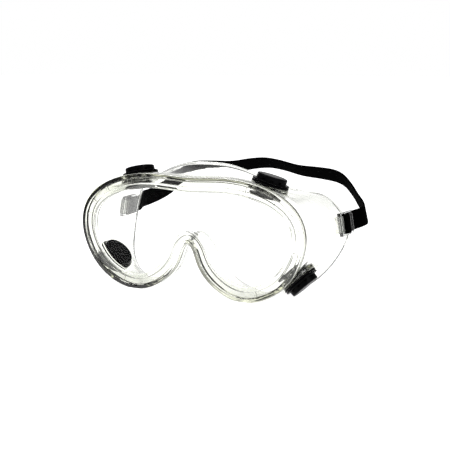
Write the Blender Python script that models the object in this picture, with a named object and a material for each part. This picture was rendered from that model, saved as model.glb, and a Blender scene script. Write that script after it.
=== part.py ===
"""Clear chemical-splash safety goggles: a soft mask with a flat lens, four round indirect vents and an
elastic strap on two swinging buckles.

Metres, +Z up. The lens faces -Y, the wearer's face is towards +Y, and +X is the right-hand side seen
from the front. Z is zero on the table that the goggles stand on, and the origin is the middle of the
whole object's footprint.
"""

import math

import bmesh
import bpy
import numpy as np
from mathutils import Matrix, Vector

MM = 0.001
GAP = 0.3  # clearance between neighbouring pieces, mm

# Half of the outline, from the middle of the brow round the right-hand side to the nose, in mm.
# Each row: window edge x and z, then the face lip's x, depth behind the rim's front and z, then how far
# the wall between them swells outwards halfway back, then the share of the rim's full width there.
STATIONS = (
    (0.0, 67.2, 0.0, 31.0, 83.4, -2.5, 1.0),
    (18.0, 68.0, 16.0, 31.5, 82.4, -2.5, 1.0),
    (36.0, 67.5, 33.0, 34.0, 77.0, -3.7, 1.0),
    (50.0, 64.5, 49.0, 39.0, 70.5, -3.4, 1.0),
    (62.0, 59.0, 64.5, 48.0, 66.0, -1.8, 1.0),
    (70.3, 50.4, 74.0, 63.0, 59.5, 1.5, 1.0),
    (72.3, 42.0, 82.2, 70.0, 45.5, -0.5, 1.0),
    (69.5, 30.0, 82.5, 65.5, 28.5, 0.5, 1.0),
    (63.0, 19.8, 75.5, 52.0, 13.5, -2.8, 1.0),
    (52.0, 12.0, 60.5, 39.0, 1.5, -2.8, 1.0),
    (39.2, 9.2, 43.0, 31.0, -1.0, -1.0, 1.0),
    (26.5, 13.6, 27.0, 26.0, 5.0, -1.0, 1.0),
    (16.0, 24.1, 15.5, 23.0, 17.0, -1.0, 0.96),
    (11.0, 34.2, 9.0, 21.0, 29.5, -0.5, 0.88),
    (0.0, 41.5, 0.0, 20.0, 37.5, 0.0, 0.8),
)
OUTLINE_STEPS = 96  # points round the outline

# The rim's section
RIM_WIDTH = 9.7
RIM_DEPTH = 7.5
BEAD_WIDTH = 2.4
CHANNEL_DEPTH = 0.9
EDGE = 0.7
GROOVE_FRONT = 2.0
GROOVE_BACK = 4.6
GROOVE_BOTTOM = 3.3
REAR_LIP_BACK = 6.1
WALL = 1.8
LIP_ROUND = 0.7
SKIRT_STEPS = 4

LENS_THICKNESS = 2.0

# The vents: centre of the seat and its outward normal, right-hand side
VENT_SEATS = {
    "top": ((48.3, 22.0, 72.2), (0.25, 0.14, 0.96)),
    "lower": ((70.3, 20.8, 14.1), (0.69, 0.03, -0.72)),
}
VENT_SIDES = 24
SEAT_RADIUS = 12.4
SEAT_THICKNESS = 4.2
SEAT_HOLE_RADIUS = 8.7
FLANGE_RADIUS = 12.2
FLANGE_THICKNESS = 1.2
NECK_RADIUS = 8.3
NECK_WALL = 1.2
NECK_LENGTH = 4.5
HUB_RADIUS = 2.8
HUB_DEPTH = 1.4
PEG_RADIUS = 1.3
AIR_HOLES = 6
AIR_HOLE_RADIUS = 1.5
CAP_RADIUS = 9.9
CAP_WALL = 1.1
CAP_HEIGHT = 4.6
BRIM_RADIUS = 12.1
BRIM_THICKNESS = 0.9
BRIM_GAP = 0.5  # between the flange and the brim
CAP_CHAMFER = 0.9
CAP_SLOTS = 11
CAP_SLOT_WIDTH = 2.0
CAP_SLOT_HEIGHT = 1.2
BAFFLE_RADIUS = 10.6
BAFFLE_THICKNESS = 1.0
BAFFLE_STANDOFF = 1.6
LEGS = 3
LEG_SIZE = 2.4

# The ear lugs and the buckles that hang on them, right-hand side
HINGE = (84.6, 53.9, 45.0)
EAR_LEAN = 10.0  # degrees, the lug's top leans towards the middle
BUCKLE_SPLAY = 4.0  # degrees, the buckle points back and a little outwards
LUG_RADIUS = 2.3
LUG_HEIGHT = 11.0
BAR_RADIUS = 1.2
SNAP_SLIT = 1.9
WEB_INSET = 0.4  # the web stays this far inside the knuckle
CUT_PAST = 2.0  # cutters run this far past what they cut
BUCKLE_HEIGHT = 15.2
BUCKLE_LENGTH = 16.4
BUCKLE_THICKNESS = 2.4
RAIL = 0.9
MID_BAR = (4.9, 8.4)
REAR_BAR = 11.6  # start of the rear bar
RIBS = 3
RIB_HEIGHT = 0.5

# The elastic strap
STRAP_WIDTH = 13.0
STRAP_THICKNESS = 1.2
STRAP_BEND = 1.5
STRAP_END_LENGTH = 24.0  # from the hinge to where the end meets the band
STRAP_IN = -2.0  # the strap runs in on the head's side of the buckle
STRAP_OVER = 2.1  # and over the middle bar
STRAP_TAIL = -2.0  # and its tail runs back again
STRAP_TAIL_END = 8.2
# Middle line of the band behind the end, right-hand side to the middle of the back
STRAP_ROUTE = (
    (87.2, 86.5, 46.0),
    (87.0, 94.0, 46.6),
    (83.4, 101.0, 49.0),
    (77.4, 106.4, 53.6),
    (70.8, 110.2, 60.4),
    (63.8, 112.8, 66.2),
    (56.0, 114.9, 68.9),
    (44.0, 117.4, 69.9),
    (27.0, 119.4, 70.8),
    (12.0, 120.2, 73.6),
    (0.0, 120.6, 74.8),
)
STRAP_LEAN = 51.0  # degrees, the band's top leans forwards at the middle of the back
STRAP_STEPS = 64

MATERIALS = {
    "clear_pvc": ((0.86, 0.90, 0.86, 0.30), 0.12),
    "clear_lens": ((0.93, 0.95, 0.95, 0.18), 0.04),
    "black_vent": ((0.012, 0.012, 0.014, 1.0), 0.32),
    "clear_buckle": ((0.88, 0.90, 0.90, 0.40), 0.10),
    "black_elastic": ((0.010, 0.010, 0.014, 1.0), 0.85),
}


# Helpers


def clear_scene():
    for thing in list(bpy.data.objects):
        bpy.data.objects.remove(thing, do_unlink=True)


def material(name):
    """The named finish, made once."""
    if name in bpy.data.materials:
        return bpy.data.materials[name]
    made = bpy.data.materials.new(name)
    made.use_nodes = True
    shader = made.node_tree.nodes["Principled BSDF"]
    colour, roughness = MATERIALS[name]
    shader.inputs["Base Color"].default_value = (*colour[:3], 1.0)
    shader.inputs["Alpha"].default_value = colour[3]
    shader.inputs["Roughness"].default_value = roughness
    shader.inputs["Metallic"].default_value = 0.0
    return made


def add_object(name, mesh, finish=None, parent=None):
    """A mesh as a named object, smooth where it is round. With no finish it is a cutter or a filler."""
    thing = bpy.data.objects.new(name, mesh)
    bpy.context.scene.collection.objects.link(thing)
    thing.parent = parent
    if finish is None:
        thing.hide_render = True
        thing.display_type = "WIRE"
        return thing
    mesh.materials.append(material(finish))
    mesh.shade_smooth()
    mesh.set_sharp_from_angle(angle=math.radians(35))
    return thing


def mesh_from(bm, name):
    """Closes a bmesh into a mesh whose faces point outwards."""
    bmesh.ops.remove_doubles(bm, verts=bm.verts, dist=1e-7)
    bmesh.ops.recalc_face_normals(bm, faces=bm.faces)
    mesh = bpy.data.meshes.new(name)
    bm.to_mesh(mesh)
    bm.free()
    return mesh


def boolean(thing, other, operation):
    change = thing.modifiers.new(f"{operation.lower()} {other.name}", "BOOLEAN")
    change.operation = operation
    change.solver = "EXACT"
    change.object = other


def empty(name, frame, parent=None):
    point = bpy.data.objects.new(name, None)
    bpy.context.scene.collection.objects.link(point)
    point.parent = parent
    point.matrix_basis = frame
    return point


def box_mesh(name, low, high):
    """A box between two corners, given in mm."""
    bm = bmesh.new()
    bmesh.ops.create_cube(bm, size=1.0)
    size = [(b - a) * MM for a, b in zip(low, high)]
    middle = [(b + a) / 2 * MM for a, b in zip(low, high)]
    bmesh.ops.scale(bm, vec=size, verts=bm.verts)
    bmesh.ops.translate(bm, vec=middle, verts=bm.verts)
    return mesh_from(bm, name)


def cylinder_mesh(name, radius, low, high, sides=VENT_SIDES, turn=0.0):
    """A round bar along Z between two heights, given in mm."""
    bm = bmesh.new()
    bmesh.ops.create_circle(bm, cap_ends=True, radius=radius * MM, segments=sides)
    bmesh.ops.rotate(bm, verts=bm.verts, matrix=Matrix.Rotation(turn, 3, "Z"))
    made = bmesh.ops.extrude_face_region(bm, geom=list(bm.faces))
    top = [v for v in made["geom"] if isinstance(v, bmesh.types.BMVert)]
    bmesh.ops.translate(bm, vec=(0, 0, (high - low) * MM), verts=top)
    bmesh.ops.translate(bm, vec=(0, 0, low * MM), verts=bm.verts)
    return mesh_from(bm, name)


def turned_mesh(name, profile, closed):
    """A profile of (radius, height) points in mm, turned round Z."""
    bm = bmesh.new()
    points = [bm.verts.new((r * MM, 0, z * MM)) for r, z in profile]
    pairs = list(zip(points, points[1:]))
    if closed:
        pairs.append((points[-1], points[0]))
    edges = [bm.edges.new(pair) for pair in pairs]
    bmesh.ops.spin(
        bm,
        geom=points + edges,
        axis=(0, 0, 1),
        cent=(0, 0, 0),
        angle=math.tau,
        steps=VENT_SIDES,
        use_merge=True,
    )
    return mesh_from(bm, name)


def joined_mesh(name, meshes_and_frames):
    """Separate meshes put into one, each placed by its own frame."""
    bm = bmesh.new()
    for mesh, frame in meshes_and_frames:
        before = len(bm.verts)
        bm.from_mesh(mesh)
        bm.verts.ensure_lookup_table()
        bmesh.ops.transform(bm, matrix=frame, verts=bm.verts[before:])
        bpy.data.meshes.remove(mesh)
    return mesh_from(bm, name)


def around(count):
    """A turn about Z for each of a number of equal steps."""
    return [Matrix.Rotation(math.tau * i / count, 4, "Z") for i in range(count)]


def periodic_spline(knots, values, where):
    """A smooth closed curve through values at knots, and its slope, at the places asked for.

    knots has one more entry than values: the last is the whole way round.
    """
    step = np.diff(knots)
    count = len(values)
    rise = (np.roll(values, -1, axis=0) - values) / step[:, None]
    system = np.zeros((count, count))
    target = np.zeros_like(values)
    for i in range(count):
        before = step[i - 1]
        system[i, i - 1] += before
        system[i, i] += 2 * (before + step[i])
        system[i, (i + 1) % count] += step[i]
        target[i] = 6 * (rise[i] - rise[i - 1])
    bend = np.linalg.solve(system, target)
    span = np.clip(np.searchsorted(knots, where, side="right") - 1, 0, count - 1)
    after = (span + 1) % count
    h = step[span][:, None]
    a = (knots[span + 1][:, None] - where[:, None]) / h
    b = 1 - a
    place = a * values[span] + b * values[after]
    place = place + ((a**3 - a) * bend[span] + (b**3 - b) * bend[after]) * h**2 / 6
    slope = (values[after] - values[span]) / h
    slope = slope + ((3 * b**2 - 1) * bend[after] - (3 * a**2 - 1) * bend[span]) * h / 6
    return place, slope


def open_spline(points, count):
    """Evenly spaced places along a smooth curve through points, and the way the curve runs there."""
    points = np.array(points, float)
    ends = np.vstack([2 * points[0] - points[1], points, 2 * points[-1] - points[-2]])
    fine = []
    for p0, p1, p2, p3 in zip(ends, ends[1:], ends[2:], ends[3:]):
        for t in np.linspace(0, 1, 24, endpoint=False):
            flat = 2 * p1 + (p2 - p0) * t
            curved = (2 * p0 - 5 * p1 + 4 * p2 - p3) * t**2 + (3 * p1 - p0 - 3 * p2 + p3) * t**3
            fine.append((flat + curved) / 2)
    fine = np.array([*fine, points[-1]])
    run = np.concatenate([[0], np.cumsum(np.linalg.norm(np.diff(fine, axis=0), axis=1))])
    where = np.linspace(0, run[-1], count)
    place = np.stack([np.interp(where, run, fine[:, i]) for i in range(3)], axis=1)
    way = np.gradient(place, where, axis=0)
    return place, unit(way)


def unit(vectors):
    return vectors / np.linalg.norm(vectors, axis=-1, keepdims=True)


# The outline, shared by the mask and the lens


def outline():
    """Places round the window edge, the way out of the window there, the face lip and the swell."""
    half = np.array(STATIONS)
    mirrored = half[-2:0:-1] * (-1, 1, -1, 1, 1, 1, 1)
    full = np.vstack([half, mirrored])
    loop = np.vstack([full, full[:1]])[:, :2]
    knots = np.concatenate([[0], np.cumsum(np.linalg.norm(np.diff(loop, axis=0), axis=1))])
    where = np.arange(OUTLINE_STEPS) * knots[-1] / OUTLINE_STEPS
    place, slope = periodic_spline(knots, full, where)
    way = unit(slope[:, :2])
    out = np.stack([-way[:, 1], way[:, 0]], axis=1) * place[:, 6:]
    return place[:, :2], out, place[:, 2:5], place[:, 5]


def rim_ring(window, out, beyond, depth):
    """The ring that lies this far outside the window edge, at this depth."""
    flat = window + out * beyond
    return np.stack([flat[:, 0], np.full(len(flat), depth), flat[:, 1]], axis=1)


def skirt_grid(window, out, lip, swell):
    """Rings of the skirt's outer face from the rim's back to the face lip, and of its inner face."""
    start = rim_ring(window, out, RIM_WIDTH, RIM_DEPTH)
    middle = start + (lip - start) * (0.3, 0.5, 0.3)
    middle[:, [0, 2]] += out * swell[:, None]
    share = np.linspace(0, 1, SKIRT_STEPS + 1)[:, None, None]
    outer = start * (1 - share) * (1 - 2 * share) + middle * 4 * share * (1 - share)
    outer = outer + lip * share * (2 * share - 1)
    back = np.gradient(outer, axis=0)
    along = np.roll(outer, -1, axis=1) - np.roll(outer, 1, axis=1)
    normal = unit(np.cross(back, along))
    if np.sum(normal[0][:, [0, 2]] * out) < 0:
        normal = -normal
    return outer, outer - normal * WALL, unit(back[-1])


def wall_x(outer, y, z):
    """How far out the right-hand wall's outer face lies at a depth and height."""
    points = outer.reshape(-1, 3)
    points = points[points[:, 0] > 0]
    distance = np.hypot(points[:, 1] - y, points[:, 2] - z)
    near = np.argsort(distance)[:4]
    weight = 1 / (distance[near] + 1e-6)
    return float(np.sum(points[near, 0] * weight) / np.sum(weight))


# Frames of the pieces that sit at an angle


def vent_frame(row, side):
    """Origin in the middle of a vent's seat, Z out of the wall."""
    centre, normal = VENT_SEATS[row]
    out = Vector((normal[0] * side, normal[1], normal[2])).normalized()
    along = Vector((0, 1, 0)).cross(out).normalized()
    frame = Matrix((along, out.cross(along), out)).transposed().to_4x4()
    frame.translation = Vector((centre[0] * side, centre[1], centre[2])) * MM
    return frame


def buckle_frame(side):
    """Origin on the lug's axis, Z up along it, Y along the buckle, X outwards on the right-hand side."""
    lean = math.radians(EAR_LEAN)
    splay = math.radians(BUCKLE_SPLAY)
    up = Vector((-math.sin(lean) * side, 0, math.cos(lean)))
    back = Vector((math.sin(splay) * side, math.cos(splay), 0))
    back = (back - up * back.dot(up)).normalized()
    right = back.cross(up)
    frame = Matrix((right, back, up)).transposed().to_4x4()
    frame.translation = Vector((HINGE[0] * side, HINGE[1], HINGE[2])) * MM
    return frame


# The strap's shape


def strap_middle():
    """Middle line and width direction of the band, right-hand side to left-hand side, in mm."""
    frame = buckle_frame(1)
    first = frame @ (Vector((STRAP_IN, STRAP_END_LENGTH + GAP, 0)) * MM) / MM
    before = frame @ (Vector((STRAP_IN, STRAP_END_LENGTH - 8, 0)) * MM) / MM
    half = [tuple(before), tuple(first), *STRAP_ROUTE]
    mirrored = [(-x, y, z) for x, y, z in half[-2::-1]]
    place, way = open_spline(half + mirrored, 16 * STRAP_STEPS + 1)
    start = int(np.argmin(np.linalg.norm(place - np.array(first), axis=1)[: len(place) // 2]))
    kept = np.linspace(start, len(place) - 1 - start, STRAP_STEPS + 1).round().astype(int)
    place, way = place[kept], way[kept]
    place[0], place[-1] = first, (-first[0], first[1], first[2])
    back = np.array(frame.to_3x3().col[1])
    way[0], way[-1] = back, back * (1, -1, -1)
    up = np.array(frame.to_3x3().col[2])
    share = np.abs(np.linspace(-1, 1, len(place)))[:, None] ** 2
    lean = math.radians(STRAP_LEAN)
    leaning = np.array([0, -math.sin(lean), math.cos(lean)])
    side = np.where(np.arange(len(place)) <= len(place) // 2, 1.0, -1.0)
    upright = np.stack([up[0] * side, np.full(len(place), up[1]), np.full(len(place), up[2])], axis=1)
    width = unit(upright * share + leaning * (1 - share))
    width = unit(width - way * np.sum(width * way, axis=1)[:, None])
    return place, way, width


def strap_corners():
    """The band's section at each step: four corners round it, in mm."""
    place, way, width = strap_middle()
    face = unit(np.cross(way, width))
    half_w = width * STRAP_WIDTH / 2
    half_t = face * STRAP_THICKNESS / 2
    top, bottom = place + half_w, place - half_w
    return np.stack([top + half_t, top - half_t, bottom - half_t, bottom + half_t], axis=1)


# Pieces


def make_mask(root, grid):
    """The soft clear moulding: rim with lens groove, skirt, face lip, vent seats and ear lugs."""
    window, out, lip, swell = outline()
    outer, inner, back = grid
    far = RIM_WIDTH
    bead = BEAD_WIDTH
    rings = [
        rim_ring(window, out, beyond, depth)
        for beyond, depth in (
            (0.0, EDGE),
            (EDGE, 0.0),
            (bead, 0.0),
            (bead + EDGE, CHANNEL_DEPTH),
            (far - bead - EDGE, CHANNEL_DEPTH),
            (far - bead, 0.0),
            (far - EDGE, 0.0),
            (far, EDGE),
        )
    ]
    rings += list(outer)
    rings.append((outer[-1] + inner[-1]) / 2 + back * LIP_ROUND)
    rings += list(inner[::-1][:-1])
    rings += [
        rim_ring(window, out, beyond, depth)
        for beyond, depth in (
            (far - WALL - EDGE, REAR_LIP_BACK),
            (EDGE, REAR_LIP_BACK),
            (0.0, REAR_LIP_BACK - EDGE),
            (0.0, GROOVE_BACK),
            (GROOVE_BOTTOM, GROOVE_BACK),
            (GROOVE_BOTTOM, GROOVE_FRONT),
            (0.0, GROOVE_FRONT),
        )
    ]
    bm = bmesh.new()
    loops = [[bm.verts.new(point * MM) for point in ring] for ring in rings]
    count = OUTLINE_STEPS
    for first, second in zip(loops, loops[1:] + loops[:1]):
        for i in range(count):
            bm.faces.new((first[i], first[(i + 1) % count], second[(i + 1) % count], second[i]))
    mask = add_object("mask_body", mesh_from(bm, "mask_body"), "clear_pvc", root)

    for side in (1, -1):
        hand = "right" if side > 0 else "left"
        for row in VENT_SEATS:
            frame = vent_frame(row, side)
            seat = cylinder_mesh(f"seat_{row}_{hand}", SEAT_RADIUS, -SEAT_THICKNESS, 0)
            hole = cylinder_mesh(f"hole_{row}_{hand}", SEAT_HOLE_RADIUS, -2 * NECK_LENGTH, NECK_LENGTH)
            for mesh, operation in ((seat, "UNION"), (hole, "DIFFERENCE")):
                tool = add_object(f"{row}_{hand}_{operation.lower()}", mesh, parent=root)
                tool.matrix_basis = frame
                boolean(mask, tool, operation)
        frame = buckle_frame(side)
        root_depth = (HINGE[0] - wall_x(outer, HINGE[1], HINGE[2]) + WALL / 2) * -side
        low, high = sorted((root_depth, 0.0))
        half = LUG_HEIGHT / 2
        web = LUG_RADIUS - WEB_INSET
        rise = half - WEB_INSET
        slit = SNAP_SLIT / 2
        past = half + CUT_PAST
        parts = (
            (cylinder_mesh("knuckle", LUG_RADIUS, -half, half), "UNION"),
            (box_mesh("web", (low, -web, -rise), (high, web, rise)), "UNION"),
            (cylinder_mesh("bore", BAR_RADIUS + GAP, -past, past, 20), "DIFFERENCE"),
            (box_mesh("slit", (-slit, 0, -past), (slit, LUG_RADIUS + CUT_PAST, past)), "DIFFERENCE"),
        )
        for mesh, operation in parts:
            tool = add_object(f"lug_{hand}_{mesh.name.split('.')[0]}", mesh, parent=root)
            tool.matrix_basis = frame
            boolean(mask, tool, operation)
    table = add_object("table", box_mesh("table", (-120, -10, -20), (120, 90, 0)), parent=root)
    boolean(mask, table, "DIFFERENCE")


def make_lens(root):
    """A flat sheet cut to the groove's outline, less a little clearance all round."""
    window, out, _, _ = outline()
    front = GROOVE_FRONT + GAP
    ring = rim_ring(window, out, GROOVE_BOTTOM - GAP, front)
    bm = bmesh.new()
    face = bm.faces.new([bm.verts.new(point * MM) for point in ring])
    made = bmesh.ops.extrude_face_region(bm, geom=[face])
    moved = [v for v in made["geom"] if isinstance(v, bmesh.types.BMVert)]
    bmesh.ops.translate(bm, vec=(0, LENS_THICKNESS * MM, 0), verts=moved)
    add_object("lens", mesh_from(bm, "lens"), "clear_lens", root)


def make_vent(root, row, hand, side):
    """Base with its neck through the wall, cap on a peg, and the inner baffle on three legs."""
    name = f"{row}_{hand}"
    holder = empty(f"{name}_vent", vent_frame(row, side), root)
    low = GAP
    top = GAP + FLANGE_THICKNESS
    bore = NECK_RADIUS - NECK_WALL
    socket = PEG_RADIUS + GAP
    base_profile = (
        (socket, -HUB_DEPTH),
        (HUB_RADIUS, -HUB_DEPTH),
        (HUB_RADIUS, low),
        (bore, low),
        (bore, -NECK_LENGTH),
        (NECK_RADIUS, -NECK_LENGTH),
        (NECK_RADIUS, low),
        (FLANGE_RADIUS, low),
        (FLANGE_RADIUS, top),
        (socket, top),
    )
    base = add_object(f"{name}_vent_base", turned_mesh("base", base_profile, True), "black_vent", holder)
    reach = Matrix.Translation(((HUB_RADIUS + bore) / 2 * MM, 0, 0))
    holes = [
        (cylinder_mesh("air", AIR_HOLE_RADIUS, low - CUT_PAST, top + CUT_PAST, 8), turn @ reach)
        for turn in around(AIR_HOLES)
    ]
    cutter = add_object(f"{name}_air_holes", joined_mesh("air_holes", holes), parent=holder)
    boolean(base, cutter, "DIFFERENCE")

    foot = top + BRIM_GAP
    crown = foot + CAP_HEIGHT
    inside = CAP_RADIUS - CAP_WALL
    cap_profile = (
        (0.0, -HUB_DEPTH + GAP),
        (PEG_RADIUS, -HUB_DEPTH + GAP),
        (PEG_RADIUS, crown - CAP_WALL),
        (inside, crown - CAP_WALL),
        (inside, foot),
        (BRIM_RADIUS, foot),
        (BRIM_RADIUS, foot + BRIM_THICKNESS),
        (CAP_RADIUS, foot + BRIM_THICKNESS),
        (CAP_RADIUS, crown - CAP_CHAMFER),
        (CAP_RADIUS - CAP_CHAMFER, crown),
        (0.0, crown),
    )
    cap = add_object(f"{name}_vent_cap", turned_mesh("cap", cap_profile, False), "black_vent", holder)
    sill = foot + BRIM_THICKNESS + GAP
    lintel = sill + CAP_SLOT_HEIGHT
    half = CAP_SLOT_WIDTH / 2
    slots = [
        (box_mesh("slot", (inside - CUT_PAST, -half, sill), (CAP_RADIUS + CUT_PAST, half, lintel)), turn)
        for turn in around(CAP_SLOTS)
    ]
    boolean(cap, add_object(f"{name}_slots", joined_mesh("slots", slots), parent=holder), "DIFFERENCE")

    near = -NECK_LENGTH - BAFFLE_STANDOFF
    deep = near - BAFFLE_THICKNESS
    plate = ((0.0, deep), (BAFFLE_RADIUS, deep), (BAFFLE_RADIUS, near), (0.0, near))
    baffle = add_object(f"{name}_vent_baffle", turned_mesh("baffle", plate, False), "black_vent", holder)
    half = LEG_SIZE / 2
    edge = bore - GAP - 0.2
    legs = [
        (box_mesh("leg", (edge - 1.6, -half, deep + 0.4), (edge, half, -NECK_LENGTH + 2)), turn)
        for turn in around(LEGS)
    ]
    boolean(baffle, add_object(f"{name}_legs", joined_mesh("legs", legs), parent=holder), "UNION")


def make_buckle(root, hand, side):
    """A three-bar buckle whose round front bar turns in the ear lug, with ribs on its rear bar."""
    holder = empty(f"{hand}_buckle_hinge", buckle_frame(side), root)
    half_h = BUCKLE_HEIGHT / 2
    half_t = BUCKLE_THICKNESS / 2
    rail = half_h - RAIL
    plate = box_mesh(f"{hand}_buckle", (-half_t, -BAR_RADIUS, -half_h), (half_t, BUCKLE_LENGTH, half_h))
    buckle = add_object(f"{hand}_buckle", plate, "clear_buckle", holder)
    windows = (
        box_mesh("window_1", (-5, -5, -rail), (5, MID_BAR[0], rail)),
        box_mesh("window_2", (-5, MID_BAR[1], -rail), (5, REAR_BAR, rail)),
    )
    cut = joined_mesh("windows", [(window, Matrix.Identity(4)) for window in windows])
    boolean(buckle, add_object(f"{hand}_windows", cut, parent=holder), "DIFFERENCE")
    bar = cylinder_mesh("bar", BAR_RADIUS, -rail - 1, rail + 1, 16, math.tau / 32)
    boolean(buckle, add_object(f"{hand}_bar", bar, parent=holder), "UNION")
    pitch = (BUCKLE_LENGTH - REAR_BAR) / RIBS
    ribs = []
    for i in range(RIBS):
        start = REAR_BAR + (i + 0.25) * pitch
        outer = sorted((side * (half_t - 0.3), side * (half_t + RIB_HEIGHT)))
        rib = box_mesh("rib", (outer[0], start, -rail + 1), (outer[1], start + pitch / 2, rail - 1))
        ribs.append((rib, Matrix.Identity(4)))
    boolean(buckle, add_object(f"{hand}_ribs", joined_mesh("ribs", ribs), parent=holder), "UNION")
    make_strap_end(holder, hand, side)


def strap_end_middle():
    """Middle line of the threaded end as (along, outwards) in mm, with round bends.

    It runs in under the rear bar, over the middle bar and back again as the tail.
    """
    up_at = (MID_BAR[1] + REAR_BAR) / 2
    down_at = (LUG_RADIUS + MID_BAR[0]) / 2
    corners = [(up_at, STRAP_IN), (up_at, STRAP_OVER), (down_at, STRAP_OVER), (down_at, STRAP_TAIL)]
    route = [(STRAP_END_LENGTH, STRAP_IN), *corners, (STRAP_TAIL_END, STRAP_TAIL)]
    points = [np.array(route[0])]
    for before, corner, after in zip(route, route[1:], route[2:]):
        corner = np.array(corner)
        arrive = unit(corner - np.array(before))
        leave = unit(np.array(after) - corner)
        centre = corner + (leave - arrive) * STRAP_BEND
        for turn in np.linspace(0, math.pi / 2, 6):
            spoke = arrive * math.sin(turn) - leave * math.cos(turn)
            points.append(centre + spoke * STRAP_BEND)
    return np.array([*points, np.array(route[-1])])


def make_strap_end(holder, hand, side):
    """The strap's folded end, threaded through the buckle."""
    line = strap_end_middle()
    way = unit(np.gradient(line, axis=0))
    across = np.stack([-way[:, 1], way[:, 0]], axis=1) * STRAP_THICKNESS / 2
    section = np.vstack([line + across, (line - across)[::-1]])
    half = STRAP_WIDTH / 2
    bm = bmesh.new()
    corners = [(out * side * MM, along * MM, -half * MM) for along, out in section]
    face = bm.faces.new([bm.verts.new(corner) for corner in corners])
    made = bmesh.ops.extrude_face_region(bm, geom=[face])
    moved = [v for v in made["geom"] if isinstance(v, bmesh.types.BMVert)]
    bmesh.ops.translate(bm, vec=(0, 0, STRAP_WIDTH * MM), verts=moved)
    add_object(f"strap_end_{hand}", mesh_from(bm, "strap_end"), "black_elastic", holder)


def make_strap_band(root):
    """The loop behind the head, from one threaded end round to the other."""
    bm = bmesh.new()
    loops = [[bm.verts.new(corner * MM) for corner in corners] for corners in strap_corners()]
    for first, second in zip(loops, loops[1:]):
        for i in range(4):
            bm.faces.new((first[i], first[(i + 1) % 4], second[(i + 1) % 4], second[i]))
    bm.faces.new(loops[0])
    bm.faces.new(loops[-1])
    add_object("strap_band", mesh_from(bm, "strap_band"), "black_elastic", root)


def main():
    clear_scene()
    rear = float(strap_corners()[:, :, 1].max())
    root = empty("goggles", Matrix.Translation((0, -rear / 2 * MM, 0)))
    make_mask(root, skirt_grid(*outline()))
    make_lens(root)
    for row in VENT_SEATS:
        for hand, side in (("left", -1), ("right", 1)):
            make_vent(root, row, hand, side)
    for hand, side in (("left", -1), ("right", 1)):
        make_buckle(root, hand, side)
    make_strap_band(root)


main()
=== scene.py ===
# %% [markdown]
# # Clear splash goggles on a white table
#
# The goggles are one soft clear moulding with a flat lens in its groove, four round black vents, and a
# black elastic strap that is threaded through two clear buckles. The imported model gives the places and the
# moving bodies. Each cell below builds one piece finely in its place and paints it, and every piece but the
# strap's two halves is handed to the body that carries it.

import math

import bmesh
import bpy
import numpy as np
from mathutils import Matrix, Vector


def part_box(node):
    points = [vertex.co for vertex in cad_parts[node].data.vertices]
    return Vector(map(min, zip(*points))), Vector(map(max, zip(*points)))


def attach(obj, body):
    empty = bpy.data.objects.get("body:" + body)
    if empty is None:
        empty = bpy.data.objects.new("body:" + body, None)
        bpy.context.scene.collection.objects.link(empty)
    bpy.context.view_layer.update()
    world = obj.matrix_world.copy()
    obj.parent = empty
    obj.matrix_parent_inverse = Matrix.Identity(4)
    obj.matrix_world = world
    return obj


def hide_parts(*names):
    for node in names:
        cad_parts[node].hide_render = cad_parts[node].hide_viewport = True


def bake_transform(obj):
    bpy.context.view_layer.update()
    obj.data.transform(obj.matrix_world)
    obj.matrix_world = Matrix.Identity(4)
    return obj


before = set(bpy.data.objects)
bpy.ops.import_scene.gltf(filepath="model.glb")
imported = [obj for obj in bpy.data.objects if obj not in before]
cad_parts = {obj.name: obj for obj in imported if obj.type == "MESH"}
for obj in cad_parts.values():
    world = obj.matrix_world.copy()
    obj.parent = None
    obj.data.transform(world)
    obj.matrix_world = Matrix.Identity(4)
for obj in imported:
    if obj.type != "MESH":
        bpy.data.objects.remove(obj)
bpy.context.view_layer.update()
MM = 0.001
rim_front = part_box("mask_body")[0][1]

# %% [markdown]
# ## Hand tools
#
# An operator acts on everything that is selected, so each piece starts with nothing selected. These few
# helpers are what a hand does again and again: pick one thing, apply its modifiers, put it in place.


# %% Hand tools
def drop_selection():
    """Object mode, nothing selected."""
    if bpy.context.object and bpy.context.object.mode != "OBJECT":
        bpy.ops.object.mode_set(mode="OBJECT")
    bpy.ops.object.select_all(action="DESELECT")


def pick(piece):
    """Only this piece selected and active."""
    drop_selection()
    piece.select_set(True)
    bpy.context.view_layer.objects.active = piece
    return piece


def named(name):
    """The piece just added, under its own name."""
    piece = bpy.context.object
    piece.name = name
    piece.data.name = name
    return piece


def apply_modifier(piece, kind, **settings):
    """Adds a modifier, sets it and applies it."""
    pick(piece)
    modifier = piece.modifiers.new(kind.title(), kind)
    for key, value in settings.items():
        setattr(modifier, key, value)
    bpy.ops.object.modifier_apply(modifier=modifier.name)
    return piece


def soften(piece, width, segments=3, angle=35):
    """Rounds the edges that are sharper than the angle."""
    return apply_modifier(
        piece,
        "BEVEL",
        width=width,
        segments=segments,
        limit_method="ANGLE",
        angle_limit=math.radians(angle),
        harden_normals=False,
    )


def combine(piece, tool, operation):
    """A clean join or cut, after which the tool is gone."""
    apply_modifier(piece, "BOOLEAN", operation=operation, solver="EXACT", object=tool)
    bpy.data.objects.remove(tool, do_unlink=True)
    return piece


def put(piece, place):
    """Moves a piece to its place and puts the place into its mesh."""
    pick(piece)
    piece.matrix_world = place
    bpy.ops.object.transform_apply(location=True, rotation=True, scale=True)
    return piece


def face_out(piece, merge=1e-6):
    """Merges doubled points and turns the faces outwards."""
    pick(piece)
    bpy.ops.object.mode_set(mode="EDIT")
    bpy.ops.mesh.select_all(action="SELECT")
    bpy.ops.mesh.remove_doubles(threshold=merge)
    bpy.ops.mesh.normals_make_consistent(inside=False)
    bpy.ops.object.mode_set(mode="OBJECT")
    return piece


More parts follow.
